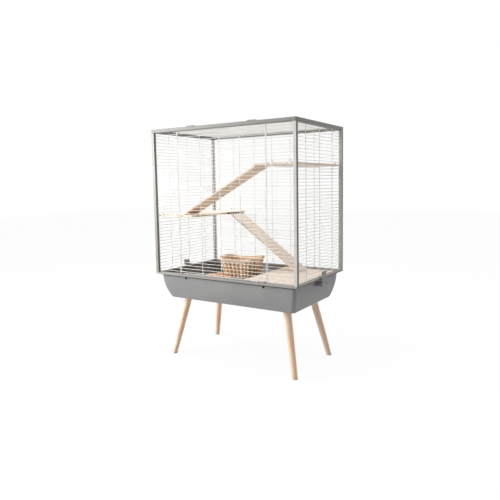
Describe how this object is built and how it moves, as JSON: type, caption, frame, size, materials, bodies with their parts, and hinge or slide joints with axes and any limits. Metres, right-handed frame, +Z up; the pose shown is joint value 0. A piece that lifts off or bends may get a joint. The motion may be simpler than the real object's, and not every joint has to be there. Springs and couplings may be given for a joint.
{
  "type": "small animal cage",
  "caption": "Tall wire small animal cage on splayed wooden legs, with a deep plastic tray, wooden shelves and ramps, a drop-down front door and a lift-up roof hatch.",
  "frame": {"origin": "on the floor under the middle of the cage", "axes": "+Z up, +X to the right along the long side, -Y to the front with the drop-down door"},
  "size_m": [0.801, 0.475, 1.101],
  "materials": {
    "tray_plastic": "satin grey moulded plastic",
    "frame_plastic": "satin grey moulded plastic",
    "frame_metal": "grey powder coat",
    "clip_plastic": "satin grey moulded plastic",
    "black_plastic": "black screw caps",
    "white_wire": "white coated wire",
    "leg_wood": "turned pale beech, clear lacquer",
    "shelf_wood": "pale birch plywood",
    "ramp_wood": "pale plywood with cross grooves",
    "basket_strip": "woven wood strip",
    "bedding_shavings": "loose wood shavings",
    "dark_steel": "dark coated steel",
    "plate_steel": "zinc plated",
    "foot_rubber": "pale grey foot pads"
  },
  "bodies": {
    "cage": {"tray": "tray_plastic", "leg_front_left": "leg_wood", "leg_front_right": "leg_wood", "leg_back_left": "leg_wood", "leg_back_right": "leg_wood", "foot_pads": "foot_rubber", "leg_plates": "plate_steel", "leg_studs": "plate_steel", "leg_bolts": "plate_steel", "back_panel": "white_wire", "right_panel": "white_wire", "left_panel": "white_wire", "front_panel_right": "white_wire", "front_panel_left": "white_wire", "front_panel_upper": "white_wire", "hinge_rods": "white_wire", "side_clip_pins": "plate_steel", "upper_shelf": "shelf_wood", "mid_shelf": "shelf_wood", "floor_board": "shelf_wood", "shelf_hooks": "white_wire", "board_ledges": "tray_plastic", "ledge_screws": "black_plastic", "ramp_rods": "dark_steel", "ramp_eyes": "dark_steel", "woven_basket": "basket_strip", "bedding": "bedding_shavings", "lower_corner_front_right": "frame_plastic", "upper_corner_front_right": "frame_plastic", "post_front_right": "frame_metal", "lower_corner_front_left": "frame_plastic", "upper_corner_front_left": "frame_plastic", "post_front_left": "frame_metal", "lower_corner_back_right": "frame_plastic", "upper_corner_back_right": "frame_plastic", "post_back_right": "frame_metal", "lower_corner_back_left": "frame_plastic", "upper_corner_back_left": "frame_plastic", "post_back_left": "frame_metal", "lower_rail_front": "frame_plastic", "upper_rail_front": "frame_plastic", "lower_rail_back": "frame_plastic", "upper_rail_back": "frame_plastic", "lower_rail_left": "frame_plastic", "upper_rail_left": "frame_plastic", "lower_rail_right": "frame_plastic", "upper_rail_right": "frame_plastic"},
    "front_door": {"front_door": "white_wire", "door_hinge_loops": "white_wire", "door_latches": "white_wire"},
    "roof_hatch": {"roof_hatch": "white_wire", "hatch_hinge_loops": "white_wire", "hatch_clips": "clip_plastic"},
    "side_clip_left": {"side_clip_left": "clip_plastic"},
    "side_clip_right": {"side_clip_right": "clip_plastic"},
    "upper_ramp": {"upper_ramp": "ramp_wood", "upper_ramp_straps": "dark_steel"},
    "lower_ramp": {"lower_ramp": "ramp_wood", "lower_ramp_straps": "dark_steel"}
  },
  "joints": [
    {"name": "front_door_hinge", "type": "hinge", "parent": "cage", "child": "front_door", "pos_m": [0, -0.23296, 0.421], "axis": [1, 0, 0], "range_deg": [0, 170]},
    {"name": "roof_hatch_hinge", "type": "hinge", "parent": "cage", "child": "roof_hatch", "pos_m": [0, 0.205, 1.0905], "axis": [-1, 0, 0], "range_deg": [0, 105]},
    {"name": "side_clip_left_pivot", "type": "hinge", "parent": "cage", "child": "side_clip_left", "pos_m": [-0.392, 0, 0.387], "axis": [0, -1, 0], "range_deg": [0, 100]},
    {"name": "side_clip_right_pivot", "type": "hinge", "parent": "cage", "child": "side_clip_right", "pos_m": [0.392, 0, 0.387], "axis": [0, 1, 0], "range_deg": [0, 100]},
    {"name": "upper_ramp_hinge", "type": "hinge", "parent": "cage", "child": "upper_ramp", "pos_m": [0.1585, -0.1205, 0.91645], "axis": [0, 1, 0], "range_deg": [0, 45]},
    {"name": "lower_ramp_hinge", "type": "hinge", "parent": "cage", "child": "lower_ramp", "pos_m": [-0.1585, 0.1205, 0.68883], "axis": [0, -1, 0], "range_deg": [0, 45]}
  ]
}
